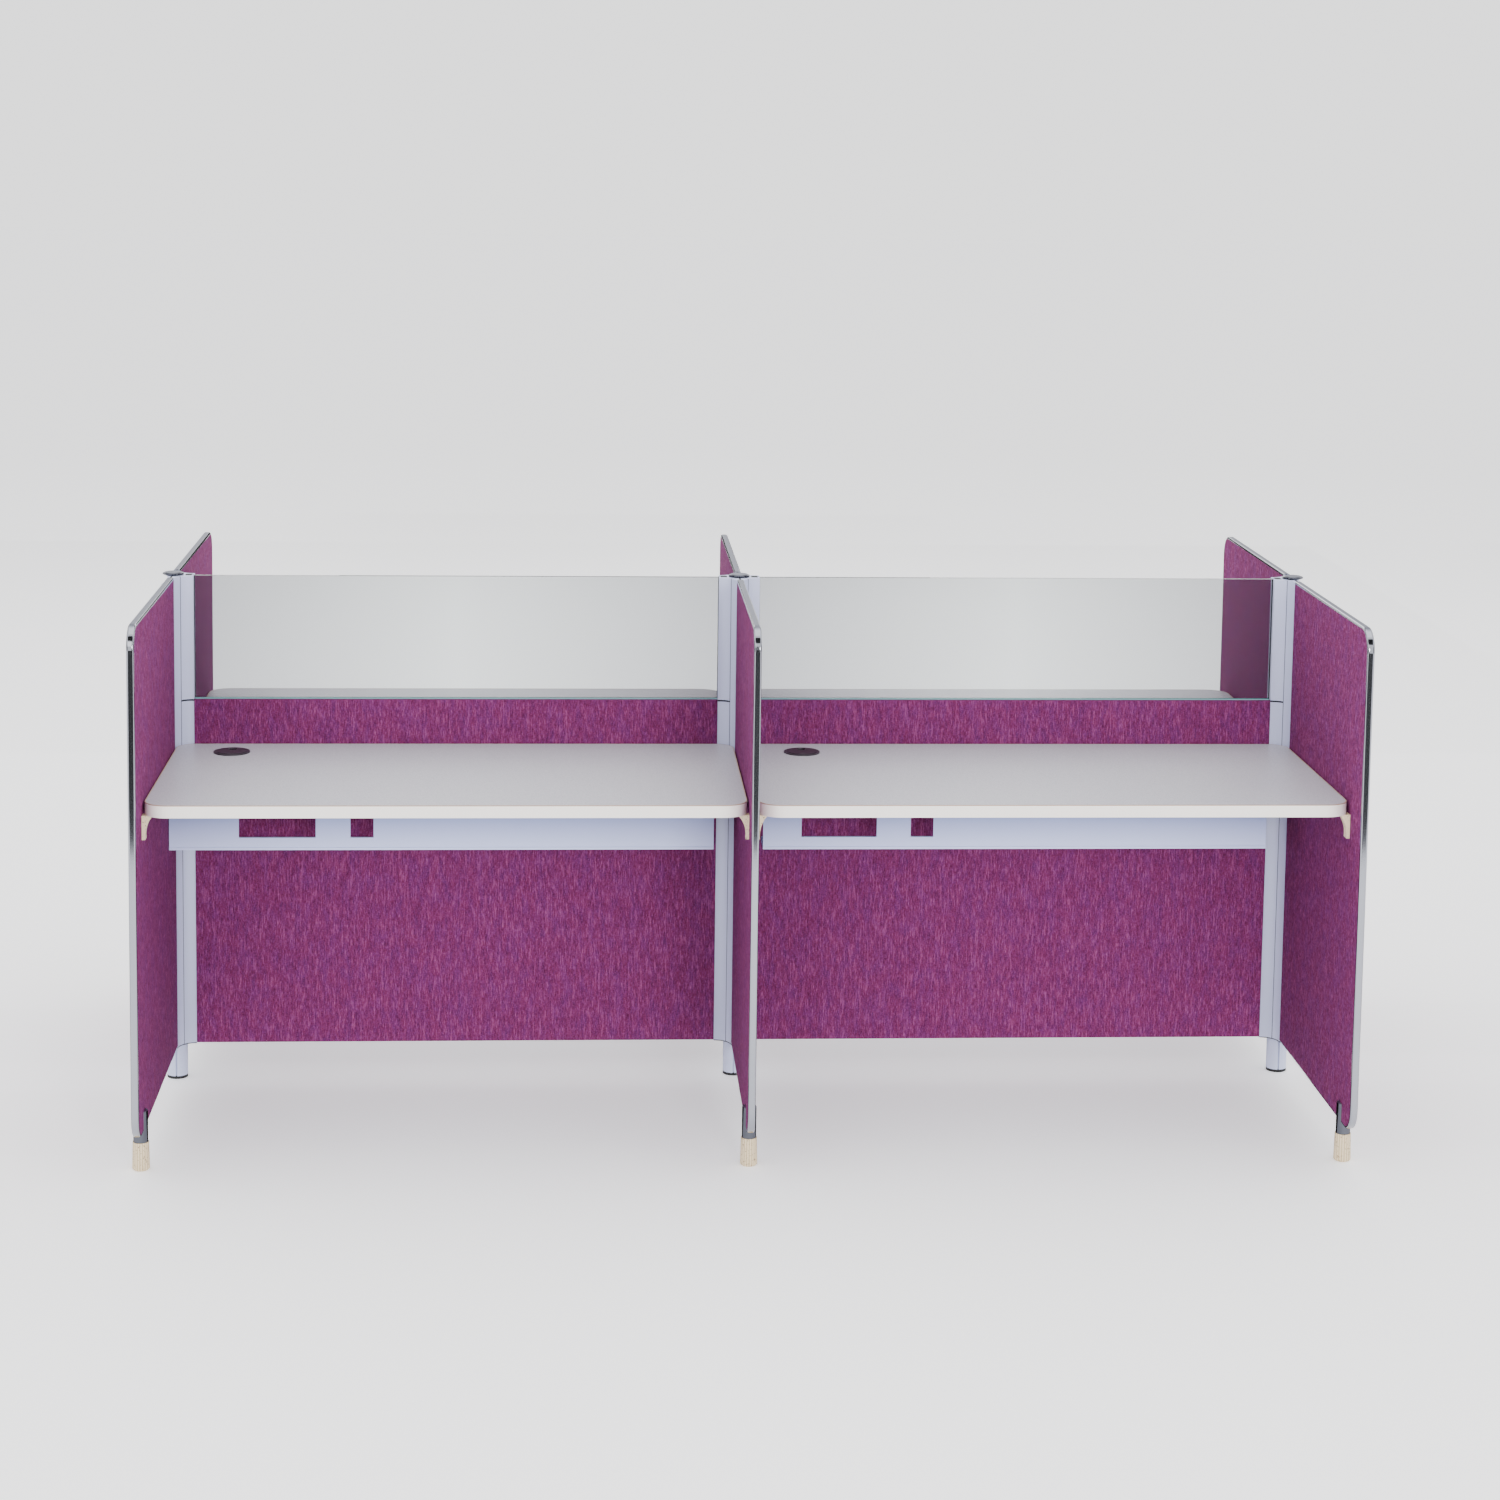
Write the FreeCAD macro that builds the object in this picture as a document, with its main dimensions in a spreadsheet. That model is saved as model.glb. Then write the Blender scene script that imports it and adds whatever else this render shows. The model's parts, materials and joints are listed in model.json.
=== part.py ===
import FreeCAD
import Part
import Sketcher
import os
import re

# Office workstation for four: a straight spine of fabric and glass on three posts, side panels
# that part the places, and a desk in each of the four bays, two in front and two behind.
# Millimetres, +Z up, +X along the spine, the front places at -Y, the origin on the floor below
# the centre post. What stands in front stands behind too, turned half round the origin.

SIZES = {
    # side panels and their bright edging
    "bay_pitch": 1200,
    "panel_top": 1097,
    "panel_bottom": 80,
    "panel_reach": 665,
    "panel_thickness": 15,
    "panel_corner": 45,
    "trim_depth": 5,
    "trim_round": 4,
    # spine panels and glass
    "spine_top": 829,
    "spine_thickness": 36,
    "glass_thickness": 8,
    "glass_drop": 3,
    "glass_bite": 8,
    "glass_clearance": 0.3,
    # coved profiles between the panels and the posts
    "cove_radius": 36,
    "seam_gap": 0.5,
    "profile_drop": 2,
    "profile_gap": 1.5,
    "panel_gap": 0.4,
    "cover_radius": 60,
    "cover_drop": 22,
    # posts, their caps and glides
    "post_diameter": 44,
    "post_wall": 5.5,
    "post_clearance": 0.3,
    "post_drop": 20,
    "groove_width": 3,
    "groove_depth": 4,
    "glide_height": 6,
    "cap_diameter": 45,
    "cap_stem": 14,
    "cap_stem_diameter": 24,
    "cap_neck": 6,
    "cap_edge": 2,
    "cap_dome": 2,
    "cap_flat_diameter": 36,
    "cap_plug": 20,
    # desks
    "desk_height": 735,
    "desk_thickness": 25,
    "desk_front": 600,
    "desk_gap": 3,
    "desk_back_gap": 3,
    "desk_corner": 48,
    "corner_relief": 6,
    "band_thickness": 2,
    # cable grommets
    "grommet_from_post": 132,
    "grommet_from_spine": 108,
    "grommet_diameter": 76,
    "grommet_rim": 2.5,
    "grommet_floor": 1,
    "barrel_diameter": 60,
    "barrel_wall": 3,
    "barrel_depth": 22,
    "barrel_clearance": 0.3,
    "lid_diameter": 63,
    "lid_thickness": 2.5,
    "lid_clearance": 0.4,
    "notch_width": 16,
    "notch_start": 6,
    # desk brackets
    "bracket_leg": 20,
    "bracket_height": 48,
    "bracket_width": 22,
    "bracket_setback": 20,
    "bracket_back_gap": 4,
    "gusset_radius": 60,
    "gusset_out": 66,
    "gusset_down": 40.5,
    "slot_width": 6,
    "slot_length": 16,
    "slot_rise": 6,
    # cable raceways
    "raceway_reach": 180,
    "raceway_bottom": 543,
    "raceway_sheet": 1.5,
    "raceway_flange": 30,
    "raceway_tray": 65,
    "raceway_lip": 12,
    "hem_height": 5,
    "long_start": 9,
    "long_end": 57,
    "short_start": 47,
    "short_end": 82,
    "socket_bottom": 569,
    "socket_height": 75,
    "long_socket_inset": 144,
    "short_socket_inset": 81,
    "large_socket_width": 159,
    "socket_gap": 72,
    "small_socket_width": 48,
    # clamps and levelling feet below the side panels
    "foot_setback": 82,
    "clamp_diameter": 29,
    "clamp_ear_height": 40,
    "foot_seat": 50,
    "foot_height": 57,
    "foot_top_diameter": 32,
    "foot_base_diameter": 35,
    "foot_bevel": 3,
    "foot_clearance": 0.4,
    "flute_diameter": 4,
    "flute_depth": 1,
    "stud_diameter": 10,
    "stud_clearance": 0.05,
    "stud_start": 12,
    "stud_end_gap": 4,
    # how far a cutting shape runs past what it cuts
    "overrun": 10,
}
FLUTES = 20
POSTS = {"left": "-bay_pitch", "centre": "0", "right": "bay_pitch"}
QUARTER, HALF, FULL = 90, 180, 360
SAME = 1e-6

# Lengths that several pieces share, written in the sizes above.
PANEL_HALF = "panel_thickness / 2"
SPINE_HALF = "spine_thickness / 2"
POST_RADIUS = "post_diameter / 2"
SPINE_END = f"({PANEL_HALF} + cove_radius)"
PANEL_END = f"({SPINE_HALF} + cove_radius)"
PROFILE_TOP = "(panel_top - profile_drop)"
POST_TOP = "(panel_top - post_drop)"
COVER_TOP = "(panel_top - cover_drop)"
COVE_TIP = "cove_radius * (1 - 1 / sqrt(2))"
DESK_UNDERSIDE = "(desk_height - desk_thickness)"
DESK_BACK = f"({SPINE_HALF} + desk_back_gap)"
DESK_SIDE = f"({PANEL_HALF} + desk_gap)"
FOOT_REACH = "(panel_reach - foot_setback)"

doc = FreeCAD.newDocument("Workstation")
sheet = doc.addObject("Spreadsheet::Sheet", "Sizes")
for row, (alias, length) in enumerate(SIZES.items(), 1):
    sheet.set(f"A{row}", alias)
    sheet.set(f"B{row}", str(length))
    sheet.setAlias(f"B{row}", alias)
doc.recompute()
nodes = []


# Helpers that bind shapes to the sheet

def bound(text):
    """The expression with each size in it read from the sheet."""
    return re.sub(r"[a-z_]+", lambda word: f"Sizes.{word[0]}" if word[0] in SIZES else word[0], text)


def bind(thing, expressions):
    for name, text in expressions.items():
        thing.setExpression(name, bound(text))


def place(thing, x="0", y="0", z="0", turn=0, axis=FreeCAD.Vector(0, 0, 1)):
    thing.Placement = FreeCAD.Placement(FreeCAD.Vector(), FreeCAD.Rotation(axis, turn))
    bind(thing, {"Placement.Base.x": x, "Placement.Base.y": y, "Placement.Base.z": z})
    return thing


def block(name, size, x="0", y="0", z="0"):
    piece = doc.addObject("Part::Box", name)
    bind(piece, dict(zip(("Length", "Width", "Height"), size)))
    return place(piece, x, y, z)


def rod(name, diameter, height, x="0", y="0", z="0", turn=0, axis=FreeCAD.Vector(0, 0, 1)):
    piece = doc.addObject("Part::Cylinder", name)
    bind(piece, {"Radius": f"({diameter}) / 2", "Height": height})
    return place(piece, x, y, z, turn, axis)


def cone(name, low_diameter, high_diameter, height, z="0"):
    piece = doc.addObject("Part::Cone", name)
    bind(piece, {"Radius1": f"({low_diameter}) / 2", "Radius2": f"({high_diameter}) / 2", "Height": height})
    return place(piece, z=z)


def fuse(name, *pieces):
    whole = doc.addObject("Part::MultiFuse", name)
    whole.Shapes = list(pieces)
    return whole


def cut(name, base, *tools):
    piece = doc.addObject("Part::Cut", name)
    piece.Base = base
    piece.Tool = tools[0] if len(tools) == 1 else fuse(f"{name}_tools", *tools)
    return piece


def slab(name, plane, width, depth, thickness):
    """A pad of a rectangle that starts at the body's origin."""
    body = doc.addObject("PartDesign::Body", name)
    sketch = body.newObject("Sketcher::SketchObject", f"{name}_outline")
    origin_plane = next(f for f in body.Origin.OriginFeatures if f.Role == plane)
    sketch.AttachmentSupport = [(origin_plane, "")]
    sketch.MapMode = "FlatFace"
    corners = [FreeCAD.Vector(u, v, 0) for u, v in ((0, 0), (1, 0), (1, 1), (0, 1))]
    for start in range(len(corners)):
        sketch.addGeometry(Part.LineSegment(corners[start], corners[start - len(corners) + 1]))
    for line in range(len(corners)):
        sketch.addConstraint(Sketcher.Constraint("Coincident", line, 2, (line + 1) % len(corners), 1))
    for line, way in enumerate(("Horizontal", "Vertical", "Horizontal", "Vertical")):
        sketch.addConstraint(Sketcher.Constraint(way, line))
    sketch.addConstraint(Sketcher.Constraint("Coincident", 0, 1, -1, 1))
    across = sketch.addConstraint(Sketcher.Constraint("DistanceX", 0, 1, 0, 2, 1))
    along = sketch.addConstraint(Sketcher.Constraint("DistanceY", 1, 1, 1, 2, 1))
    bind(sketch, {f"Constraints[{across}]": width, f"Constraints[{along}]": depth})
    pad = body.newObject("PartDesign::Pad", f"{name}_pad")
    pad.Profile = sketch
    bind(pad, {"Length": thickness})
    doc.recompute()
    return body


def rounded(body, radius, chosen):
    """Rounds the edges of the body that chosen picks, given an edge's box and the body's box."""
    base = body.Tip
    shape = base.Shape
    names = [
        f"Edge{number}"
        for number, edge in enumerate(shape.Edges, 1)
        if chosen(edge.BoundBox, shape.BoundBox)
    ]
    fillet = body.newObject("PartDesign::Fillet", f"{body.Name}_round")
    fillet.Base = (base, names)
    bind(fillet, {"Radius": radius})
    doc.recompute()
    return body


def front_corner(edge, whole):
    return edge.YLength < SAME and edge.ZLength < SAME and edge.YMin - whole.YMin < SAME


def upright(edge):
    return edge.XLength < SAME and edge.YLength < SAME


def copy(label, master, x="0", turn=0, y="0"):
    """A node that shows a master shape at a place of its own."""
    return group(label, placed(label, master, x, turn, y))


def placed(name, master, x="0", turn=0, y="0"):
    piece = doc.addObject("Part::Compound", f"{name}_piece")
    piece.Links = [master]
    return place(piece, x, y, turn=turn)


def group(label, *pieces):
    node = doc.addObject("Part::Compound", label)
    node.Links = list(pieces)
    node.Label = label
    nodes.append(node)
    return node


# Posts, with a groove on each side, a bright cap on top and a dark glide below

def post():
    height = f"{POST_TOP} - glide_height"
    shell = rod("post_shell", "post_diameter", height, z="glide_height")
    bore = rod("post_bore", "post_diameter - 2 * post_wall", f"{height} + 2 * overrun",
               z="glide_height - overrun")
    edge = f"{POST_RADIUS} - groove_depth"
    deep = ("overrun", "groove_width", f"{height} + 2 * overrun")
    wide = ("groove_width", "overrun", f"{height} + 2 * overrun")
    low = "glide_height - overrun"
    grooves = [
        block("groove_right", deep, edge, "-groove_width / 2", low),
        block("groove_left", deep, f"-({edge}) - overrun", "-groove_width / 2", low),
        block("groove_rear", wide, "-groove_width / 2", edge, low),
        block("groove_front", wide, "-groove_width / 2", f"-({edge}) - overrun", low),
    ]
    return cut("post", shell, bore, *grooves)


def post_cap():
    plug_diameter = "post_diameter - 2 * post_wall - 2 * post_clearance"
    plug = rod("cap_plug_rod", plug_diameter, "cap_plug", z=f"{POST_TOP} - cap_plug")
    stem = rod("cap_stem_rod", "cap_stem_diameter", "cap_stem", z=POST_TOP)
    neck = cone("cap_neck_cone", "cap_stem_diameter", "cap_diameter", "cap_neck", z=f"{POST_TOP} + cap_stem")
    rim = f"{POST_TOP} + cap_stem + cap_neck"
    edge = rod("cap_edge_rod", "cap_diameter", "cap_edge", z=rim)
    dome = cone("cap_dome_cone", "cap_diameter", "cap_flat_diameter", "cap_dome", z=f"{rim} + cap_edge")
    return fuse("post_cap", plug, stem, neck, edge, dome)


post_master, cap_master = post(), post_cap()
glide_master = rod("post_glide", "post_diameter", "glide_height")
for side, post_x in POSTS.items():
    copy(f"post_{side}", post_master, post_x)
group("post_caps", *[placed(f"cap_{side}", cap_master, post_x) for side, post_x in POSTS.items()])
group("post_glides", *[placed(f"glide_{side}", glide_master, post_x) for side, post_x in POSTS.items()])


# Coved profiles: each points along +Y from the post's axis and ends a panel

def wedge(name, own, other, height):
    """The quarter around the post that belongs to one profile: own is half the panel that it ends,
    other is half the panels on both sides of it."""
    piece = doc.addObject("Part::Wedge", name)
    near = f"{own} - seam_gap"
    bind(piece, {
        "Xmin": f"-({near})", "Xmax": near,
        "X2min": f"-({near} + cove_radius)", "X2max": f"{near} + cove_radius",
        "Ymin": other, "Ymax": f"{other} + cove_radius",
        "Zmin": "0", "Zmax": height, "Z2min": "0", "Z2max": height,
    })
    return piece


def profile(name, own, other, low, high, *more_tools):
    height = f"{high} - ({low})"
    quarter = place(wedge(f"{name}_quarter", own, other, height), z=low)
    through = (f"{height} + 2 * overrun", f"{low} - overrun")
    tools = [rod(f"{name}_post", "post_diameter + 2 * post_clearance", through[0], z=through[1])]
    for hand, sign in (("left", "-"), ("right", "")):
        tools.append(rod(f"{name}_cove_{hand}", "2 * cove_radius", through[0],
                         f"{sign}({own} + cove_radius)", f"{other} + cove_radius", through[1]))
    return cut(name, quarter, *tools, *more_tools)


def glass_groove():
    size = ("glass_thickness + 2 * glass_clearance", "glass_bite + glass_clearance + overrun", "panel_top")
    return block("glass_groove", size, "-glass_thickness / 2 - glass_clearance",
                 f"{SPINE_END} - glass_bite - glass_clearance", "spine_top - glass_bite")


def end_cover():
    """Closes the outer side of an end post, from seam to seam."""
    height = f"{COVER_TOP} - panel_bottom"
    quarter = place(wedge("cover_quarter", SPINE_HALF, PANEL_HALF, height), z="panel_bottom")
    tip_out = f"({PANEL_HALF} + {COVE_TIP})"
    tip_side = f"({SPINE_HALF} + {COVE_TIP})"
    rise = f"sqrt(cover_radius ^ 2 - {tip_side} ^ 2)"
    round_face = rod("cover_round", "2 * cover_radius", height, y=f"{tip_out} - {rise}", z="panel_bottom")
    bulged = doc.addObject("Part::MultiCommon", "cover_bulged")
    bulged.Shapes = [quarter, round_face]
    post_room = rod("cover_post", "post_diameter + 2 * post_clearance", f"{height} + 2 * overrun",
                    z="panel_bottom - overrun")
    return cut("end_cover", bulged, post_room)


def notched(hand, x):
    """A side profile of an end post: no wider than the panel where it stands above the cover."""
    size = ("cove_radius", PANEL_END, "cover_drop")
    return cut(f"side_end_{hand}", side_end, block(f"side_notch_{hand}", size, x, "0", COVER_TOP))


side_end = profile("side_end", PANEL_HALF, SPINE_HALF, "panel_bottom", PROFILE_TOP)
groove = glass_groove()
spine_end = profile("spine_end", SPINE_HALF, PANEL_HALF, "panel_bottom", "spine_top", groove)
glass_end = profile("glass_end", SPINE_HALF, PANEL_HALF, "spine_top + profile_gap", PROFILE_TOP, groove)
cover = end_cover()
left_notched, right_notched = notched("left", f"-({SPINE_END})"), notched("right", PANEL_HALF)
side_masters = {
    # front, rear
    "left": (right_notched, left_notched),
    "centre": (side_end, side_end),
    "right": (left_notched, right_notched),
}
for side, post_x in POSTS.items():
    front_end, rear_end = side_masters[side]
    group(f"side_ends_{side}", placed(f"side_end_front_{side}", front_end, post_x, HALF),
          placed(f"side_end_rear_{side}", rear_end, post_x))
for bay, (left, right) in {"left": ("-bay_pitch", "0"), "right": ("0", "bay_pitch")}.items():
    for kind, master in (("spine", spine_end), ("glass", glass_end)):
        group(f"{kind}_ends_{bay}", placed(f"{kind}_end_{bay}_left", master, left, -QUARTER),
              placed(f"{kind}_end_{bay}_right", master, right, QUARTER))
group("end_covers", placed("cover_left", cover, "-bay_pitch", QUARTER),
      placed("cover_right", cover, "bay_pitch", -QUARTER))


# Spine panels and the glass that stands in their top groove, in the bay from a post to the next

def spine_panel():
    start = f"{SPINE_END} + panel_gap"
    length = f"bay_pitch - 2 * ({start})"
    board = block("spine_board", (length, "spine_thickness", "spine_top - panel_bottom"),
                  start, f"-{SPINE_HALF}", "panel_bottom")
    groove_size = ("bay_pitch", "glass_thickness + 2 * glass_clearance", "glass_bite + overrun")
    groove = block("spine_groove", groove_size, "0", "-glass_thickness / 2 - glass_clearance",
                   "spine_top - glass_bite")
    return cut("spine_panel", board, groove)


def glass_pane():
    start = f"{SPINE_END} - glass_bite"
    low = "spine_top - glass_bite"
    size = (f"bay_pitch - 2 * ({start})", "glass_thickness", f"panel_top - glass_drop - ({low})")
    return block("glass_pane", size, start, "-glass_thickness / 2", low)


spine_master, glass_master = spine_panel(), glass_pane()
for bay, left in {"left": "-bay_pitch", "right": "0"}.items():
    copy(f"spine_panel_{bay}", spine_master, left)
    copy(f"glass_{bay}", glass_master, left)


# Side panels with rounded front corners, edged all round but at the post

def side_panel():
    length = f"panel_reach - trim_depth - {PANEL_END} - panel_gap"
    height = "panel_top - panel_bottom - 2 * trim_depth"
    board = slab("side_board", "YZ_Plane", length, height, "panel_thickness")
    rounded(board, "panel_corner - trim_depth", front_corner)
    return place(board, f"-{PANEL_HALF}", "trim_depth - panel_reach", "panel_bottom + trim_depth")


def on_outline(edge, whole):
    """An edge along one of the two faces, other than at the post."""
    return edge.XLength < SAME and edge.YMin < whole.YMax - SAME


def side_trim(board):
    length = f"panel_reach - {PANEL_END} - panel_gap"
    outer = slab("trim_outer", "YZ_Plane", length, "panel_top - panel_bottom", "panel_thickness")
    rounded(outer, "panel_corner", front_corner)
    rounded(outer, "trim_round", on_outline)
    place(outer, f"-{PANEL_HALF}", "-panel_reach", "panel_bottom")
    return cut("side_trim", outer, board)


panel_master = side_panel()
trim_master = side_trim(panel_master)
for side, post_x in POSTS.items():
    copy(f"side_panel_front_{side}", panel_master, post_x)
    copy(f"side_panel_rear_{side}", panel_master, post_x, HALF)
    copy(f"side_trim_front_{side}", trim_master, post_x)
    copy(f"side_trim_rear_{side}", trim_master, post_x, HALF)


# Desks: a board with an edge band, rounded to clear the coves at the back

def desk_slab(name, inset):
    width = f"bay_pitch - 2 * ({DESK_SIDE} + {inset})"
    depth = f"desk_front - {DESK_BACK} - 2 * {inset}"
    body = slab(name, "XY_Plane", width, depth, "desk_thickness")
    rounded(body, f"desk_corner - {inset}", lambda edge, whole: upright(edge) and edge.YMin < SAME)
    rounded(body, f"cove_radius + corner_relief - {inset}",
            lambda edge, whole: upright(edge) and whole.YMax - edge.YMax < SAME)
    return place(body, f"{DESK_SIDE} + {inset}", f"{inset} - desk_front", DESK_UNDERSIDE)


def grommet_rod(name, diameter, height, low):
    return rod(name, diameter, height, "grommet_from_post", "-grommet_from_spine", low)


def grommet_liner():
    flange = grommet_rod("liner_flange", "grommet_diameter", "grommet_rim", "desk_height")
    barrel = grommet_rod("liner_barrel", "barrel_diameter", "barrel_depth", "desk_height - barrel_depth")
    bore = grommet_rod("liner_bore", "barrel_diameter - 2 * barrel_wall", "barrel_depth + 2 * overrun",
                       "desk_height - barrel_depth - overrun")
    recess = grommet_rod("liner_recess", "lid_diameter + 2 * lid_clearance", "overrun",
                         "desk_height + grommet_floor")
    return cut("grommet_liner", fuse("liner_body", flange, barrel), bore, recess)


def grommet_lid():
    """A disc that turns in the liner, with a cable notch from near its centre to its rear rim."""
    low = "desk_height + grommet_floor"
    disc = grommet_rod("lid_disc", "lid_diameter", "lid_thickness", low)
    tall = "lid_thickness + 2 * overrun"
    size = ("notch_width", "lid_diameter", tall)
    notch = block("lid_notch", size, "grommet_from_post - notch_width / 2",
                  "notch_start + notch_width / 2 - grommet_from_spine", f"{low} - overrun")
    notch_end = rod("lid_notch_end", "notch_width", tall, "grommet_from_post",
                    "notch_start + notch_width / 2 - grommet_from_spine", f"{low} - overrun")
    return cut("grommet_lid", disc, notch, notch_end)


board_blank = desk_slab("desk_blank", "band_thickness")
band_blank = desk_slab("band_blank", "0")
cable_hole = grommet_rod("cable_hole", "barrel_diameter + 2 * barrel_clearance",
                         "desk_thickness + 2 * overrun", f"{DESK_UNDERSIDE} - overrun")
BAYS = {
    "front_left": ("-bay_pitch", 0),
    "front_right": ("0", 0),
    "rear_right": ("bay_pitch", HALF),
    "rear_left": ("0", HALF),
}
desk_master = cut("desk", board_blank, cable_hole)
band_master = cut("desk_band", band_blank, board_blank)
liner_master, lid_master = grommet_liner(), grommet_lid()
for bay, (post_x, turn) in BAYS.items():
    copy(f"desk_top_{bay}", desk_master, post_x, turn)
    copy(f"grommet_lid_{bay}", lid_master, post_x, turn)
group("desk_bands", *[placed(f"band_{bay}", band_master, *stand) for bay, stand in BAYS.items()])
group("grommet_liners", *[placed(f"liner_{bay}", liner_master, *stand) for bay, stand in BAYS.items()])


# Desk brackets: a leg on the side panel and a leg below the desk, with a hollow gusset

def bracket():
    """At the left panel of a bay, with its front face at y 0 and its back at +Y."""
    low = f"{DESK_UNDERSIDE} - bracket_height"
    solid = block("bracket_block", ("bracket_leg", "bracket_width", "bracket_height"), PANEL_HALF, z=low)
    hollow = rod("bracket_hollow", "2 * gusset_radius", "bracket_width + 2 * overrun",
                 f"{PANEL_HALF} + gusset_out", "bracket_width + overrun",
                 f"{DESK_UNDERSIDE} - gusset_down", QUARTER, FreeCAD.Vector(1, 0, 0))
    slot_size = ("bracket_leg + 2 * overrun", "slot_width", "slot_length - slot_width")
    slot_y = "bracket_width / 2"
    slot_z = f"{low} + slot_rise + slot_width / 2"
    slot = [block("slot_middle", slot_size, f"{PANEL_HALF} - overrun", f"{slot_y} - slot_width / 2", slot_z)]
    for end, rise in (("low", "0"), ("high", "slot_length - slot_width")):
        slot.append(rod(f"slot_{end}", "slot_width", "bracket_leg + 2 * overrun", f"{PANEL_HALF} - overrun",
                        slot_y, f"{slot_z} + {rise}", QUARTER, FreeCAD.Vector(0, 1, 0)))
    return cut("bracket", solid, hollow, *slot)


bracket_master = bracket()
FRONT_BRACKET = "bracket_setback - desk_front"
BACK_BRACKET = f"-{PANEL_END} - bracket_back_gap - bracket_width"
brackets = []
for side, post_x in (("left", "-bay_pitch"), ("right", "0")):
    for end, y in (("front", FRONT_BRACKET), ("back", BACK_BRACKET)):
        near, far = f"{y}", f"{y} + bracket_width"
        next_post = f"{post_x} + bay_pitch"
        name = f"bracket_{side}_{end}"
        brackets += [
            placed(f"{name}_a", bracket_master, post_x, 0, near),
            placed(f"{name}_b", bracket_master, next_post, HALF, far),
            placed(f"{name}_c", bracket_master, f"-({post_x})", HALF, f"-({near})"),
            placed(f"{name}_d", bracket_master, f"-({next_post})", 0, f"-({far})"),
        ]
group("desk_brackets", *brackets)


# Cable raceways of folded sheet below the desks, with two openings for sockets

def raceway(name, start, end, socket_inset):
    length = f"bay_pitch - {start} - {end}"
    front = "-raceway_reach"
    tall = f"{DESK_UNDERSIDE} - raceway_bottom"
    folds = fuse(
        f"{name}_folds",
        block(f"{name}_front", (length, "raceway_sheet", tall), start, front, "raceway_bottom"),
        block(f"{name}_flange", (length, "raceway_flange", "raceway_sheet"), start, front,
              f"{DESK_UNDERSIDE} - raceway_sheet"),
        block(f"{name}_tray", (length, "raceway_tray", "raceway_sheet"), start, front, "raceway_bottom"),
        block(f"{name}_lip", (length, "raceway_sheet", "raceway_lip"), start,
              f"{front} + raceway_tray - raceway_sheet", "raceway_bottom"),
        block(f"{name}_hem", (length, "raceway_sheet", "hem_height"), start,
              f"{front} - raceway_sheet", "raceway_bottom"),
    )
    large_start = f"{start} + {socket_inset}"
    small_start = f"{large_start} + large_socket_width + socket_gap"
    sockets = [
        block(f"{name}_{kind}", (f"{kind}_socket_width", "2 * overrun", "socket_height"), at,
              f"{front} - overrun", "socket_bottom")
        for kind, at in (("large", large_start), ("small", small_start))
    ]
    return cut(name, folds, *sockets)


long_raceway = raceway("long_raceway", "long_start", "long_end", "long_socket_inset")
short_raceway = raceway("short_raceway", "short_start", "short_end", "short_socket_inset")
for bay, (post_x, turn) in BAYS.items():
    copy(f"raceway_{bay}", long_raceway if post_x != "0" else short_raceway, post_x, turn)


# Clamps below the side panels, each with a levelling foot on a screwed stud

def foot_clamp():
    high = "panel_bottom + clamp_ear_height"
    tube = rod("clamp_tube", "clamp_diameter", f"{high} - foot_seat", z="foot_seat")
    slot_size = ("panel_thickness", "clamp_diameter + 2 * overrun", "clamp_ear_height + overrun")
    slot = block("clamp_slot", slot_size, f"-{PANEL_HALF}", "-clamp_diameter / 2 - overrun", "panel_bottom")
    bore = rod("clamp_bore", "stud_diameter + 2 * stud_clearance", "panel_bottom - foot_seat + 2 * overrun",
               z="foot_seat - overrun")
    return cut("foot_clamp", tube, slot, bore)


def foot():
    bevel = cone("foot_bevel_cone", "foot_base_diameter - 2 * foot_bevel", "foot_base_diameter", "foot_bevel")
    body = cone("foot_body", "foot_base_diameter", "foot_top_diameter", "foot_height - foot_bevel",
                z="foot_bevel")
    seat = rod("foot_cup", "clamp_diameter + 2 * foot_clearance", "foot_height", z="foot_seat")
    socket = rod("foot_socket", "stud_diameter + 2 * stud_clearance", "foot_height", z="stud_start")
    out = "foot_base_diameter / 2 + flute_diameter / 2 - flute_depth"
    flutes = []
    for number in range(FLUTES):
        angle = number * FULL / FLUTES
        flutes.append(rod(f"flute_{number}", "flute_diameter", "foot_seat - foot_bevel",
                          f"({out}) * cos({angle} deg)", f"({out}) * sin({angle} deg)", "-overrun"))
    return cut("foot", fuse("foot_solid", bevel, body), seat, socket, *flutes)


clamp_master, foot_master = foot_clamp(), foot()
stud_master = rod("stud", "stud_diameter", "panel_bottom - stud_end_gap - stud_start", z="stud_start")
clamps = []
for row, turn, y in (("front", 0, f"-{FOOT_REACH}"), ("rear", HALF, FOOT_REACH)):
    for side, post_x in POSTS.items():
        clamps.append(placed(f"clamp_{row}_{side}", clamp_master, post_x, turn, y))
        copy(f"foot_{row}_{side}", foot_master, post_x, turn, y)
        copy(f"stud_{row}_{side}", stud_master, post_x, turn, y)
group("foot_clamps", *clamps)


# Every shape is checked, then each node is written to its own file

doc.recompute()
failed = [thing.Name for thing in doc.Objects if {"Invalid", "Error"} & set(thing.State)]
failed += [node.Label for node in nodes if node.Shape.isNull() or not node.Shape.isValid()]
if failed:
    raise RuntimeError(f"these shapes failed: {failed}")
os.makedirs("parts", exist_ok=True)
for node in nodes:
    node.Shape.exportStep(f"parts/{node.Label}.step")
    print(node.Label, len(node.Shape.Solids), "solids", round(node.Shape.Volume))
print(len(nodes), "nodes")
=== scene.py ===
import json
import math

import bmesh
import bpy
from mathutils import Matrix, Vector


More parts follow.
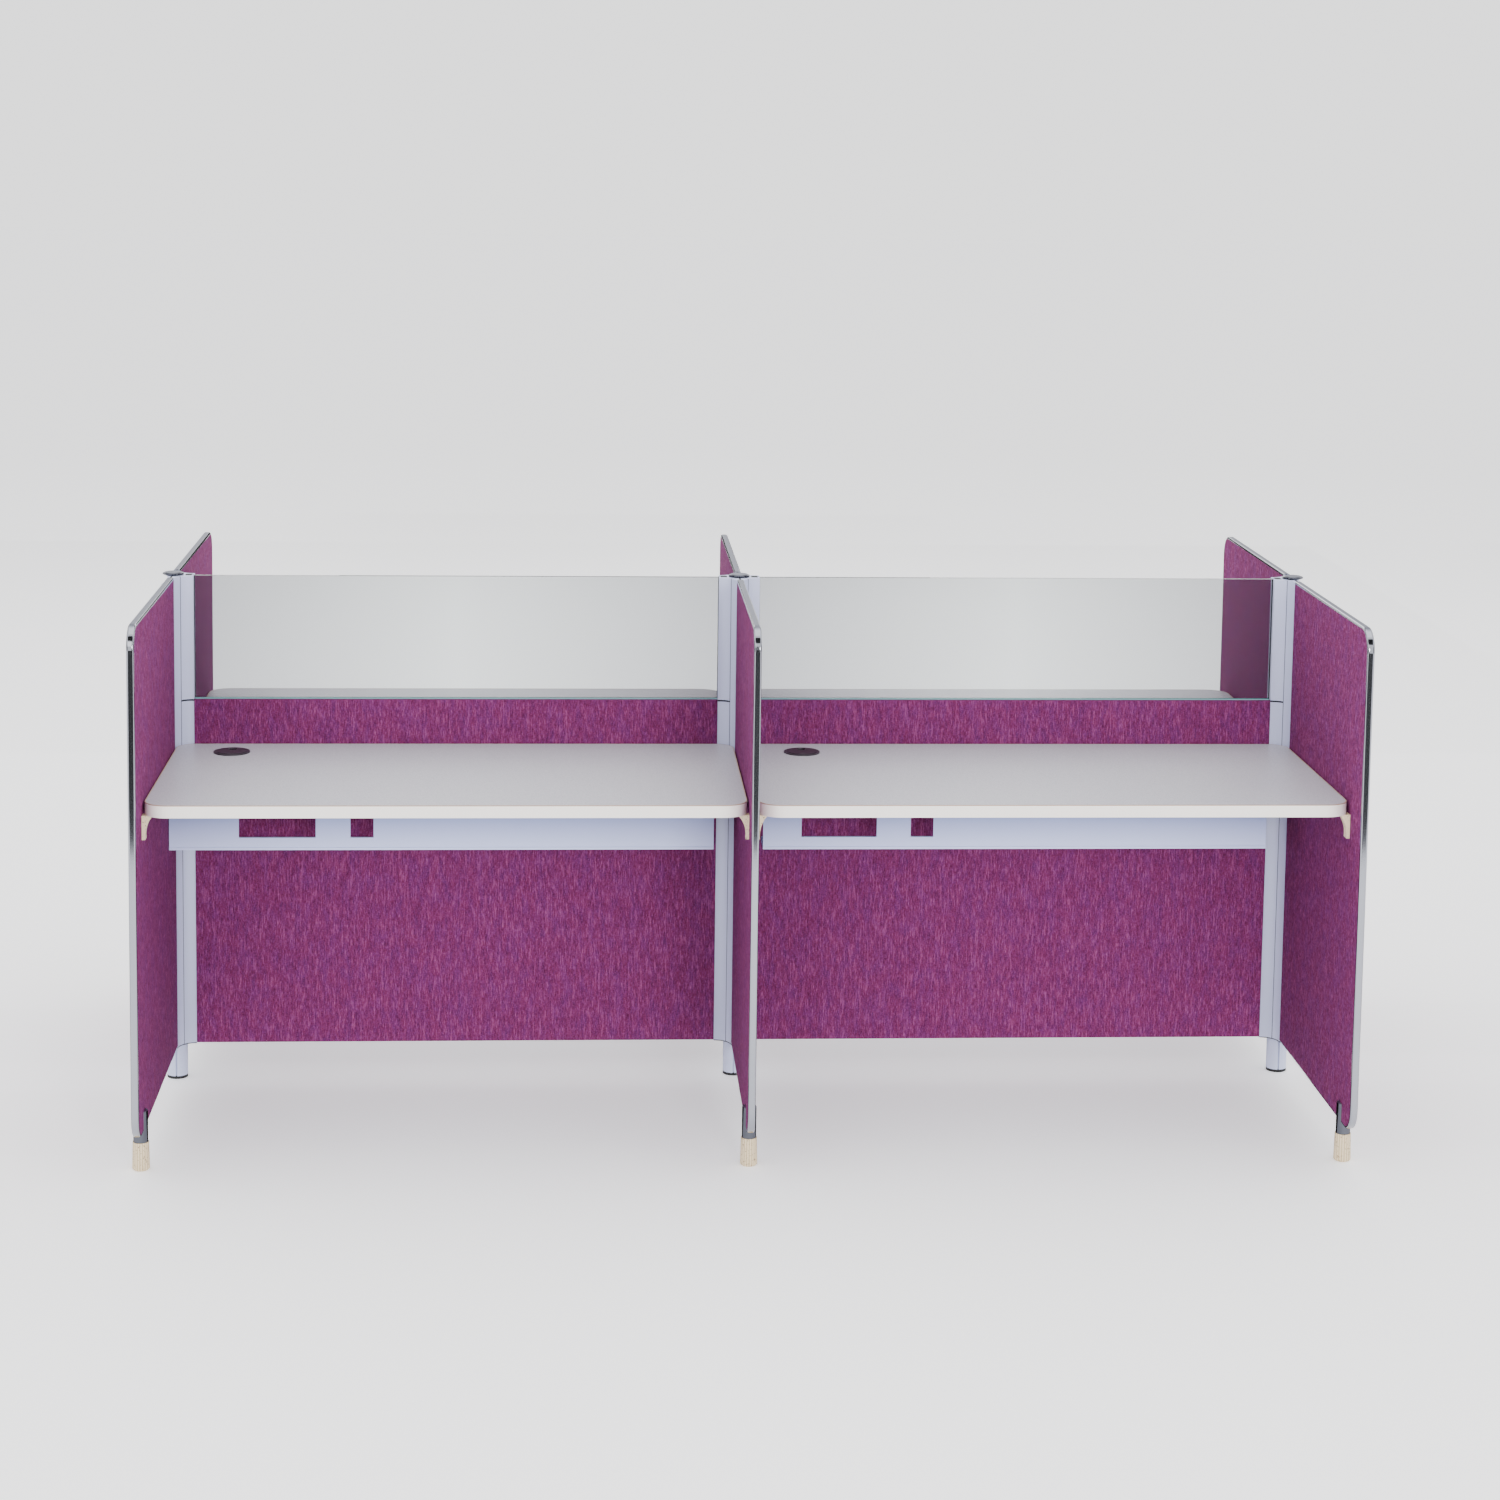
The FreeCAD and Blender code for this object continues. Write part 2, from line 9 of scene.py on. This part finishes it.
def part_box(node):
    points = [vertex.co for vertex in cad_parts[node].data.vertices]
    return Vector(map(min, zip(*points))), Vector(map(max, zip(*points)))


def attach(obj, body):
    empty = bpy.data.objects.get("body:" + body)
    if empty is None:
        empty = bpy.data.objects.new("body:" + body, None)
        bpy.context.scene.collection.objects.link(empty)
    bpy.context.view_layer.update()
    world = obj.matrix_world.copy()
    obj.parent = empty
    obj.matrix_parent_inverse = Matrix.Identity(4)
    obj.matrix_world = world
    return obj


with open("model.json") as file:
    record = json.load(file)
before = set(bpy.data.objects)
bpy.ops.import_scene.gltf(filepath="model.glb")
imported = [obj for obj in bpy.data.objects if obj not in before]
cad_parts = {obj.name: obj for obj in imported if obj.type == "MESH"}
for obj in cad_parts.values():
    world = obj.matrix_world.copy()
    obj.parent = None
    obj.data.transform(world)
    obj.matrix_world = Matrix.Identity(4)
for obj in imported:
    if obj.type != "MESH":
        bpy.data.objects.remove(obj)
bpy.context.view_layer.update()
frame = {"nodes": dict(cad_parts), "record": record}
NODES = frame["nodes"]

# Sizes taken from the part, in metres
MM = 0.001
SPINE_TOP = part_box("spine_panel_left")[1].z
SPINE_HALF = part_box("spine_panel_left")[1].y
PANEL_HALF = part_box("side_panel_front_centre")[1].x
PANEL_INNER = -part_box("side_panel_front_centre")[1].y
PROFILE_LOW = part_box("side_ends_left")[0].z
PROFILE_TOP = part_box("side_ends_left")[1].z
PROFILE_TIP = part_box("side_ends_centre")[1].y
COVE = PROFILE_TIP - SPINE_HALF
DESK_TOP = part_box("desk_top_front_left")[1].z
BAY_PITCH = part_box("foot_front_right")[1].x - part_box("foot_front_centre")[1].x
FOOT_ROW = (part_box("foot_rear_left")[0].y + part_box("foot_rear_left")[1].y) / 2
FOOT_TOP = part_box("foot_rear_left")[1].z
CLAMP_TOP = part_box("foot_clamps")[1].z
CLAMP_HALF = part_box("foot_clamps")[1].y - FOOT_ROW
RACEWAY_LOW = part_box("raceway_front_left")[0].z

# Sizes of the thin trim, of the tints and of the painted shade and sheen, in metres
GASKET_WIDTH = 1.4 * MM
GASKET_PROUD = 1.2 * MM
BEAD_HEIGHT = 2.5 * MM
SEAM_WIDTH = 1.4 * MM
SEAM_DEPTH = 4 * MM
SEAM_PROUD = 0.15 * MM
# Dark strips standing for the painted shade in the hollow tops of the profiles
HOLLOW_SHADE_WIDTH = 20 * MM
HOLLOW_SHADE_SLIT = 4 * MM
HOLLOW_SHADE_INSET = 4 * MM
HOLLOW_SHADE_PROUD = 0.5 * MM
PLATE_THICKNESS = 2 * MM
PLATE_PROUD = 0.4 * MM
PLATE_STEPS = 8
BAND_LINE = 1.6 * MM
TINT_GAP = 0.1 * MM
TRIM_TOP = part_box("side_trim_front_left")[1].z + TINT_GAP
# Height over which the painted shade under the desk deepens on the raceway
RACEWAY_SHADE = 66 * MM
# Middle and half width of the panes, for their painted sheen
PANE_MIDDLE = 600 * MM
PANE_HALF = 550 * MM
FOOT_FLUTES = 20
RELIEF_DEPTH = 1 * MM

# Colours, as the screen shows them
PLUM = (109, 38, 84)
PLUM_DARK = (63, 17, 54)
PLUM_LIGHT = (175, 90, 142)
PLUM_RED = (126, 40, 74)
VIOLET = (105, 53, 124)
PALE_GREY = (191, 197, 226)
PALE_BLUE = (206, 216, 255)
# Painted shade of the desk on the raceway
SHADED_BLUE = (148, 160, 208)
DESK_GREY = (184, 182, 188)
DESK_SPECK = (158, 156, 166)
IVORY = (242, 236, 230)
BEIGE = (170, 140, 120)
CREAM = (226, 208, 174)
# Painted shade in the flutes of the feet
CREAM_SHADE = (190, 168, 130)
GRIME = (120, 96, 70)
CHARCOAL = (48, 43, 50)
BLACK = (20, 20, 22)
SEAM_GREY = (84, 88, 102)
TEAL = (120, 178, 180)
SILVER = (152, 154, 162)
SATIN = (118, 120, 132)
# Painted dark reflection on the rims of the caps
CAP_SHADE = (66, 68, 76)
# Painted dark reflection on the clamps
CLAMP_SHADE = (92, 95, 103)
STEEL = (176, 176, 180)
GLASS_TINT = (226, 230, 230)
# Painted sheen at the ends of the panes
GLASS_SHEEN_GREY = (182, 184, 187)
FLOOR_WHITE = (246, 246, 247)

# The curve of a screen, from the number of a colour to its light
SCREEN_FULL = 255
SCREEN_KNEE = 10
SCREEN_SLOPE = 12.92
SCREEN_LIFT = 0.055
SCREEN_POWER = 2.4

# Roughness from 0 for a mirror to 1 for chalk, and metals from 0 to 1
ROUGHNESS = {
    "fabric": 0.9,
    "laminate": 0.42,
    "band": 0.4,
    "chrome": 0.08,
    "glass": 0.0,
    "cream": 0.45,
    "aluminium": 0.38,
    "raceway": 0.38,
    "charcoal": 0.4,
    "rubber": 0.7,
    "steel": 0.35,
    "bead": 0.2,
    "seam": 0.6,
    "floor": 0.8,
    "flag": 0.9,
}
LEVEL_ROUGHNESS = 0.5
METALLIC = {"chrome": 1.0, "steel": 1.0, "aluminium": 0.1}

# Noises: changes to a metre along X, Y and Z, and detail
HUES = ((70, 40, 24), 2.0)
SLUBS = ((380, 200, 50), 3.0)
THREADS = ((800, 340, 130), 2.0)
WEFT = ((200, 120, 900), 1.0)
SPECKS = ((700, 700, 700), 2.0)
SPOTS = ((300, 300, 240), 4.0)

# Colours along a noise, and shares of the finishes
YARN_SHARES = ((0.36, PLUM_DARK), (0.47, PLUM), (0.54, PLUM), (0.66, PLUM_LIGHT))
DYED_SHARES = ((0.36, PLUM_DARK), (0.48, PLUM), (0.58, VIOLET), (0.68, PLUM_LIGHT))
CROSS_SHARES = ((0.35, PLUM_DARK), (0.55, PLUM), (0.75, PLUM_LIGHT))
PATCH_SHARES = ((0.36, PLUM_RED), (0.50, PLUM), (0.64, VIOLET))
SPECK_SHARES = ((0.36, DESK_SPECK), (0.56, DESK_GREY))
DYED_SHARE = 0.5
CROSS_SHARE = 0.25
PATCH_SHARE = 0.14
FABRIC_GLOSS_SHARE = 0.1
FABRIC_RELIEF_SHARE = 0.25
LAMINATE_RELIEF_SHARE = 0.05
LEVEL_SHARES = (0.85, 0.97)
GRIME_SHARES = (0.32, 0.43)
WHOLE_SHARES = (0.0, 1.0)
CLEAR_SHARE = 0.98
GLASS_IOR = 1.48

# Floor, lights, boards and camera, in metres, watts and radians
FLOOR_HALF = 40.0
GLOW_SPAN = (2.5, 12.0)
GLOW_STRENGTHS = (0.5, 0.14)
SKY_STRENGTH = 2.05
AIM = (0.0, 0.0, 0.6)
LIGHTS = {
    # place, size, watts
    "key": ((1.3, -7.0, 2.0), 1.2, 180),
    "fill": ((-2.5, -6.0, 3.5), 3.0, 50),
    "top": ((0.0, 0.5, 5.0), 5.0, 90),
    "rear": ((0.0, 6.0, 4.0), 4.0, 90),
}
BOARD = 0.01
FLAGS = 10
FLAG_RADIUS = 9.0
FLAG_WIDTH = 3.0
FLAG_HEIGHT = 3.5
APRON_HALF = 3.2
APRON_SPANS = ((0.1, 0.5), (3.3, 8.0))
APRON_RISE = 0.002
CANOPY_HALF = 3.5
CANOPY_SPAN = (2.6, 6.5)
CANOPY_HEIGHT = 4.8
LENS = 74.03
SENSOR = 36.0
SHIFT = -0.19
CAMERA_PLACE = (-0.3792, -6.5177, 2.1158)
YAW, PITCH, ROLL = 0.0612, 0.1189, 0.0132


# Node helpers

def lit(number):
    """The light of one number of a colour."""
    if number > SCREEN_KNEE:
        return ((number / SCREEN_FULL + SCREEN_LIFT) / (1 + SCREEN_LIFT)) ** SCREEN_POWER
    return number / SCREEN_FULL / SCREEN_SLOPE


def shade(rgb):
    """A colour as the screen shows it, turned into light."""
    return tuple(lit(number) for number in rgb) + (1.0,)


def material(name, colour):
    """A new material, its node tree and its shader."""
    made = bpy.data.materials.new(name)
    made.use_nodes = True
    surface = made.node_tree.nodes["Principled BSDF"]
    surface.inputs["Base Color"].default_value = shade(colour)
    surface.inputs["Roughness"].default_value = ROUGHNESS[name]
    surface.inputs["Metallic"].default_value = METALLIC.get(name, 0.0)
    return made, made.node_tree, surface


def plain(name, colour):
    """A material of one colour."""
    return material(name, colour)[0]


def paint(tree, surface, colour):
    """Take a shader's colour from another node."""
    tree.links.new(colour, surface.inputs["Base Color"])


def feed(tree, value, socket):
    """Link a socket to another node, or set it to a number or a colour."""
    if isinstance(value, bpy.types.NodeSocket):
        tree.links.new(value, socket)
    elif isinstance(value, tuple):
        socket.default_value = shade(value)
    else:
        socket.default_value = value


def position(tree):
    """The place of a point on its piece."""
    return tree.nodes.new("ShaderNodeTexCoord").outputs["Object"]


def axis_of(tree, vector, axis):
    """One of the three numbers of a vector."""
    split = tree.nodes.new("ShaderNodeSeparateXYZ")
    tree.links.new(vector, split.inputs["Vector"])
    return split.outputs[axis]


def along(tree, axis):
    """The place of a point along X, Y or Z."""
    return axis_of(tree, position(tree), axis)


def maths(tree, operation, *values, clamp=False):
    """A math node: each value is a number or comes from another node."""
    node = tree.nodes.new("ShaderNodeMath")
    node.operation = operation
    node.use_clamp = clamp
    for value, socket in zip(values, node.inputs):
        feed(tree, value, socket)
    return node.outputs["Value"]


def above(tree, height):
    """1 above a height, 0 below it."""
    return maths(tree, "GREATER_THAN", along(tree, "Z"), height)


def off_feet(tree):
    """How far outside or inside the row of the feet a point lies."""
    return maths(tree, "SUBTRACT", maths(tree, "ABSOLUTE", along(tree, "Y")), FOOT_ROW)


def faded(tree, value, span, result=WHOLE_SHARES):
    """A value turned from one span into another."""
    node = tree.nodes.new("ShaderNodeMapRange")
    for name, number in zip(("From Min", "From Max", "To Min", "To Max"), (*span, *result)):
        node.inputs[name].default_value = number
    tree.links.new(value, node.inputs["Value"])
    return node.outputs["Result"]


def noise(tree, per_metre, detail):
    """Noise that changes so many times a metre along X, Y and Z."""
    stretch = tree.nodes.new("ShaderNodeMapping")
    stretch.inputs["Scale"].default_value = per_metre
    tree.links.new(position(tree), stretch.inputs["Vector"])
    texture = tree.nodes.new("ShaderNodeTexNoise")
    texture.inputs["Scale"].default_value = 1.0
    texture.inputs["Detail"].default_value = detail
    tree.links.new(stretch.outputs["Vector"], texture.inputs["Vector"])
    return texture.outputs["Fac"]


def ramp(tree, value, stops):
    """Colours along a value: stops are (place, colour)."""
    node = tree.nodes.new("ShaderNodeValToRGB")
    elements = node.color_ramp.elements
    elements.remove(elements[-1])
    elements[0].position = stops[0][0]
    elements[0].color = shade(stops[0][1])
    for place, colour in stops[1:]:
        elements.new(place).color = shade(colour)
    tree.links.new(value, node.inputs["Fac"])
    return node.outputs["Color"]


def mix(tree, share, first, second):
    """The first colour, with a share of the second."""
    node = tree.nodes.new("ShaderNodeMix")
    node.data_type = "RGBA"
    sockets = {socket.identifier: socket for socket in node.inputs}
    feed(tree, share, sockets["Factor_Float"])
    feed(tree, first, sockets["A_Color"])
    feed(tree, second, sockets["B_Color"])
    return next(o for o in node.outputs if o.identifier == "Result_Color")


def bump(tree, surface, height, share):
    """Fine relief from a noise."""
    node = tree.nodes.new("ShaderNodeBump")
    node.inputs["Strength"].default_value = share
    node.inputs["Distance"].default_value = RELIEF_DEPTH
    tree.links.new(height, node.inputs["Height"])
    tree.links.new(node.outputs["Normal"], surface.inputs["Normal"])


# Materials

def fabric():
    """Plum cloth with upright slubs of lighter, darker and violet yarn."""
    made, tree, surface = material("fabric", PLUM)
    threads = noise(tree, *THREADS)
    yarn = ramp(tree, noise(tree, *SLUBS), YARN_SHARES)
    dyed = ramp(tree, threads, DYED_SHARES)
    cross = ramp(tree, noise(tree, *WEFT), CROSS_SHARES)
    patches = ramp(tree, noise(tree, *HUES), PATCH_SHARES)
    woven = mix(tree, DYED_SHARE, yarn, dyed)
    crossed = mix(tree, CROSS_SHARE, woven, cross)
    paint(tree, surface, mix(tree, PATCH_SHARE, crossed, patches))
    surface.inputs["Specular IOR Level"].default_value = FABRIC_GLOSS_SHARE
    bump(tree, surface, threads, FABRIC_RELIEF_SHARE)
    return made


def laminate():
    """Pale desk board with a fine speckle."""
    made, tree, surface = material("laminate", DESK_GREY)
    specks = noise(tree, *SPECKS)
    paint(tree, surface, ramp(tree, specks, SPECK_SHARES))
    bump(tree, surface, specks, LAMINATE_RELIEF_SHARE)
    return made


def band():
    """Ivory edge band with a thin glue line at its top."""
    made, tree, surface = material("band", IVORY)
    paint(tree, surface, mix(tree, above(tree, DESK_TOP - BAND_LINE), IVORY, BEIGE))
    return made


def chrome():
    """Bright plating, satin where it lies level on top, with painted dark reflection round the caps and
    clamps.
    """
    made, tree, surface = material("chrome", SILVER)
    normal = tree.nodes.new("ShaderNodeNewGeometry").outputs["Normal"]
    level = faded(tree, axis_of(tree, normal, "Z"), LEVEL_SHARES)
    roughness = faded(tree, level, WHOLE_SHARES, (ROUGHNESS["chrome"], LEVEL_ROUGHNESS))
    tree.links.new(roughness, surface.inputs["Roughness"])
    # Painted dark reflection on the clamps at the feet
    clamped = maths(tree, "LESS_THAN", maths(tree, "ABSOLUTE", off_feet(tree)), CLAMP_HALF)
    low = mix(tree, clamped, SILVER, CLAMP_SHADE)
    trim = mix(tree, above(tree, CLAMP_TOP), low, SILVER)
    # Painted dark reflection on the caps above the trims
    side = mix(tree, above(tree, TRIM_TOP), trim, CAP_SHADE)
    paint(tree, surface, mix(tree, level, side, SATIN))
    return made


def glass():
    """Clear in the middle of each pane, with a painted grey sheen towards its ends."""
    made, tree, surface = material("glass", GLASS_TINT)
    # Painted sheen, greyer away from the middle of each pane
    aside = maths(tree, "SUBTRACT", maths(tree, "ABSOLUTE", along(tree, "X")), PANE_MIDDLE)
    painted_sheen = faded(tree, maths(tree, "ABSOLUTE", aside), (0.0, PANE_HALF))
    paint(tree, surface, mix(tree, painted_sheen, GLASS_TINT, GLASS_SHEEN_GREY))
    surface.inputs["Transmission Weight"].default_value = CLEAR_SHARE
    surface.inputs["IOR"].default_value = GLASS_IOR
    return made


def foot_flutes(tree):
    """1 in the upright flutes of every foot, where painted shade darkens them, 0 between them and above
    the feet.
    """
    across = maths(tree, "WRAP", along(tree, "X"), BAY_PITCH / 2, -BAY_PITCH / 2)
    angle = maths(tree, "ARCTAN2", off_feet(tree), across)
    wave = maths(tree, "COSINE", maths(tree, "MULTIPLY", angle, FOOT_FLUTES))
    return maths(tree, "SUBTRACT", faded(tree, wave, (-1.0, 1.0)), above(tree, FOOT_TOP), clamp=True)


def cream():
    """Cream mouldings, a little grimy, with painted shade in the flutes of the feet."""
    made, tree, surface = material("cream", CREAM)
    # Painted shade in the flutes; the grime spots after it are dirt
    flute_shaded = mix(tree, foot_flutes(tree), CREAM, CREAM_SHADE)
    dirt = faded(tree, noise(tree, *SPOTS), GRIME_SHARES, WHOLE_SHARES[::-1])
    paint(tree, surface, mix(tree, dirt, flute_shaded, GRIME))
    return made


def raceway():
    """Pale blue paint, with painted shade deepening up under the desk."""
    made, tree, surface = material("raceway", PALE_BLUE)
    # Painted shade: the raceway darkens towards the desk above it
    desk_shade = faded(tree, along(tree, "Z"), (RACEWAY_LOW, RACEWAY_LOW + RACEWAY_SHADE))
    paint(tree, surface, mix(tree, desk_shade, PALE_BLUE, SHADED_BLUE))
    return made


def floor_white():
    """Pale floor that glows a little, less further out."""
    made, tree, surface = material("floor", FLOOR_WHITE)
    surface.inputs["Emission Color"].default_value = shade(FLOOR_WHITE)
    away = tree.nodes.new("ShaderNodeVectorMath")
    away.operation = "LENGTH"
    tree.links.new(position(tree), away.inputs[0])
    glow = faded(tree, away.outputs["Value"], GLOW_SPAN, GLOW_STRENGTHS)
    tree.links.new(glow, surface.inputs["Emission Strength"])
    return made


FINISHES = {
    "fabric": fabric(),
    "laminate": laminate(),
    "band": band(),
    "chrome": chrome(),
    "glass": glass(),
    "cream": cream(),
    "aluminium": plain("aluminium", PALE_GREY),
    "raceway": raceway(),
    "charcoal": plain("charcoal", CHARCOAL),
    "rubber": plain("rubber", BLACK),
    "steel": plain("steel", STEEL),
}
BEAD_FINISH = plain("bead", TEAL)
SEAM_FINISH = plain("seam", SEAM_GREY)

for part in frame["record"]["subparts"]:
    mesh = NODES[part["node"]].data
    mesh.materials.clear()
    mesh.materials.append(FINISHES[part["material_slot"]])


# Mesh helpers

def mesh_object(name, finish):
    """An empty mesh object, and its mesh in the making."""
    mesh = bpy.data.meshes.new(name)
    mesh.materials.append(finish)
    thing = bpy.data.objects.new(name, mesh)
    bpy.context.scene.collection.objects.link(thing)
    return thing, bmesh.new()


def piece(name, slot, finish=None):
    """A mesh object that rides on the frame, in the finish of its slot or one of its own."""
    thing, shape = mesh_object(name, finish or FINISHES[slot])
    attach(thing, "frame")
    return thing, shape


def finished(thing, shape):
    """Put the mesh that was made into its object."""
    shape.to_mesh(thing.data)
    shape.free()


def add_block(shape, size, place):
    """A box of a size, moved and turned by a matrix."""
    bmesh.ops.create_cube(shape, size=1.0, matrix=place @ Matrix.Diagonal(Vector(size).to_4d()))


def add_box(shape, low, high):
    """A box between two corners."""
    size = Vector(high) - Vector(low)
    middle = (Vector(high) + Vector(low)) / 2
    add_block(shape, size, Matrix.Translation(middle))


# Pieces that only the eye needs

def post_middle(side):
    """The middle of a post."""
    low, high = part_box(f"post_{side}")
    return (low + high) / 2


def bay_ways(x):
    """The ways along X, -1 or 1, in which a bay lies beside a post."""
    return [way for way in (-1, 1) if way * x <= 0]


def pane_spans(bay):
    """The spans along Y of the beads in front of and behind a pane."""
    low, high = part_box(f"glass_{bay}")
    return (low.y - GASKET_PROUD, low.y), (high.y, high.y + GASKET_PROUD)


def glass_gaskets(bay):
    """Black beads where the pane enters the profiles, on both of its faces."""
    thing, shape = piece(f"glass_gaskets_{bay}", "rubber")
    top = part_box(f"glass_{bay}")[1].z
    for near, far in pane_spans(bay):
        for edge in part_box(f"spine_panel_{bay}"):
            start = edge.x - GASKET_WIDTH / 2
            add_box(shape, (start, near, SPINE_TOP), (start + GASKET_WIDTH, far, top))
    finished(thing, shape)


def glass_beads(bay):
    """The greenish line where the pane stands in the spine."""
    thing, shape = piece(f"glass_beads_{bay}", "glass", BEAD_FINISH)
    low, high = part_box(f"spine_panel_{bay}")
    for near, far in pane_spans(bay):
        add_box(shape, (low.x, near, SPINE_TOP), (high.x, far, SPINE_TOP + BEAD_HEIGHT))
    finished(thing, shape)


def seams(side):
    """Dark lines between the coved profiles around a post."""
    thing, shape = piece(f"seams_{side}", "aluminium", SEAM_FINISH)
    axis_x = post_middle(side).x
    reach = (PANEL_INNER - SPINE_HALF) * (1 - math.cos(math.pi / 4))
    size = (SEAM_DEPTH, SEAM_WIDTH, PROFILE_TOP - PROFILE_LOW)
    for way_x in bay_ways(axis_x):
        for way_y in (-1, 1):
            turn = Matrix.Rotation(math.atan2(way_y, way_x), 4, "Z")
            tip_x = axis_x + way_x * (PANEL_HALF + reach)
            tip_y = way_y * (SPINE_HALF + reach)
            tip = Vector((tip_x, tip_y, (PROFILE_TOP + PROFILE_LOW) / 2))
            inward = turn @ Vector((SEAM_PROUD - SEAM_DEPTH / 2, 0, 0))
            add_block(shape, size, Matrix.Translation(tip + inward) @ turn)
    finished(thing, shape)


def painted_hollow_shade(side):
    """Dark strips over the open tops of the profiles around a post, painted shade of the hollows
    inside.
    """
    thing, shape = piece(f"painted_hollow_shade_{side}", "rubber")
    axis_x = post_middle(side).x
    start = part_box(f"post_{side}")[1].y + HOLLOW_SHADE_INSET
    end_y = PROFILE_TIP - HOLLOW_SHADE_INSET
    end_x = COVE + PANEL_HALF - HOLLOW_SHADE_INSET
    top = PROFILE_TOP + HOLLOW_SHADE_PROUD
    left, right = axis_x - HOLLOW_SHADE_SLIT / 2, axis_x + HOLLOW_SHADE_SLIT / 2
    for way in (-1, 1):
        near, far = sorted((way * start, way * end_y))
        add_box(shape, (left, near, PROFILE_TOP), (right, far, top))
    for way in bay_ways(axis_x):
        near, far = sorted((axis_x + way * start, axis_x + way * end_x))
        add_box(shape, (near, -HOLLOW_SHADE_WIDTH / 2, PROFILE_TOP), (far, HOLLOW_SHADE_WIDTH / 2, top))
    finished(thing, shape)


def profile_plate(shape, middle, turn, own, other, proud=0.0):
    """A thin plate below a place, cut like a profile that points along +Y until it is turned."""
    bend = [math.pi / 4 * step / PLATE_STEPS for step in range(PLATE_STEPS + 1)]
    bow = COVE - proud
    half = [(own + COVE - bow * math.cos(a), other + COVE - bow * math.sin(a)) for a in bend]
    outline = half[::-1] + [(-x, y) for x, y in half]
    place = Matrix.Translation(middle) @ Matrix.Rotation(turn, 4, "Z")
    low = [shape.verts.new(place @ Vector((x, y, -PLATE_THICKNESS))) for x, y in outline]
    high = [shape.verts.new(place @ Vector((x, y, 0))) for x, y in outline]
    shape.faces.new(low)
    shape.faces.new(high[::-1])
    for i in range(len(outline)):
        shape.faces.new((low[i - 1], high[i - 1], high[i], low[i]))


def bottom_plates(side):
    """Thin dark plates cut like the profiles around a post: a dark line under their lower ends, and a
    dark joint between them and those of the spine.
    """
    thing, shape = piece(f"bottom_plates_{side}", "rubber")
    axis_x = post_middle(side).x
    foot = Vector((axis_x, 0, PROFILE_LOW))
    joint = Vector((axis_x, 0, SPINE_TOP))
    for turn in (0, math.pi):
        profile_plate(shape, foot, turn, PANEL_HALF, SPINE_HALF)
    for way in bay_ways(axis_x):
        turn = -way * math.pi / 2
        profile_plate(shape, foot, turn, SPINE_HALF, PANEL_HALF)
        profile_plate(shape, joint, turn, SPINE_HALF, PANEL_HALF, PLATE_PROUD)
    bmesh.ops.recalc_face_normals(shape, faces=shape.faces)
    finished(thing, shape)


for bay in ("left", "right"):
    glass_gaskets(bay)
    glass_beads(bay)
for side in ("left", "centre", "right"):
    seams(side)
    painted_hollow_shade(side)
    bottom_plates(side)


# Floor, boards, lights and camera

def floor():
    """A plain pale floor that reaches far beyond the picture."""
    thing, shape = mesh_object("floor", floor_white())
    bmesh.ops.create_grid(shape, x_segments=1, y_segments=1, size=FLOOR_HALF)
    finished(thing, shape)


def flags():
    """Dark boards round and above the studio that only bright metal and glass mirror."""
    thing, shape = mesh_object("flags", plain("flag", BLACK))
    out = Matrix.Translation((FLAG_RADIUS, 0, FLAG_HEIGHT / 2))
    for number in range(FLAGS):
        turn = Matrix.Rotation((2 * number + 1) * math.pi / FLAGS, 4, "Z")
        add_block(shape, (BOARD, FLAG_WIDTH, FLAG_HEIGHT), turn @ out)
    for way in (-1, 1):
        for span in APRON_SPANS:
            near, far = sorted(way * y for y in span)
            add_box(shape, (-APRON_HALF, near, APRON_RISE), (APRON_HALF, far, 2 * APRON_RISE))
        near, far = sorted(way * y for y in CANOPY_SPAN)
        add_box(shape, (-CANOPY_HALF, near, CANOPY_HEIGHT), (CANOPY_HALF, far, CANOPY_HEIGHT + BOARD))
    finished(thing, shape)
    thing.visible_camera = False
    thing.visible_diffuse = False
    thing.visible_transmission = False
    thing.visible_shadow = False


def lamp(name, place, size, watts):
    """A square soft light that looks at the object."""
    data = bpy.data.lights.new(name, "AREA")
    data.shape = "SQUARE"
    data.size = size
    data.energy = watts
    thing = bpy.data.objects.new(name, data)
    thing.location = place
    thing.rotation_euler = (Vector(AIM) - Vector(place)).to_track_quat("-Z", "Y").to_euler()
    bpy.context.scene.collection.objects.link(thing)


def sky():
    """Even white light from all sides."""
    world = bpy.data.worlds.new("studio")
    world.use_nodes = True
    light = world.node_tree.nodes["Background"]
    light.inputs["Color"].default_value = shade(FLOOR_WHITE)
    light.inputs["Strength"].default_value = SKY_STRENGTH
    bpy.context.scene.world = world


def camera():
    """The camera of the photograph: turned right, tipped down and rolled a little."""
    data = bpy.data.cameras.new("camera")
    data.sensor_fit = "HORIZONTAL"
    data.sensor_width = SENSOR
    data.lens = LENS
    data.shift_y = SHIFT
    ahead = Vector((math.sin(YAW) * math.cos(PITCH), math.cos(YAW) * math.cos(PITCH), -math.sin(PITCH)))
    level = ahead.cross(Vector((0, 0, 1))).normalized()
    upward = level.cross(ahead)
    right = level * math.cos(ROLL) + upward * math.sin(ROLL)
    top = upward * math.cos(ROLL) - level * math.sin(ROLL)
    turn = Matrix((right, top, -ahead)).transposed().to_4x4()
    thing = bpy.data.objects.new("camera", data)
    thing.matrix_world = Matrix.Translation(CAMERA_PLACE) @ turn
    bpy.context.scene.collection.objects.link(thing)
    bpy.context.scene.camera = thing


floor()
flags()
for name, setting in LIGHTS.items():
    lamp(name, *setting)
sky()
camera()
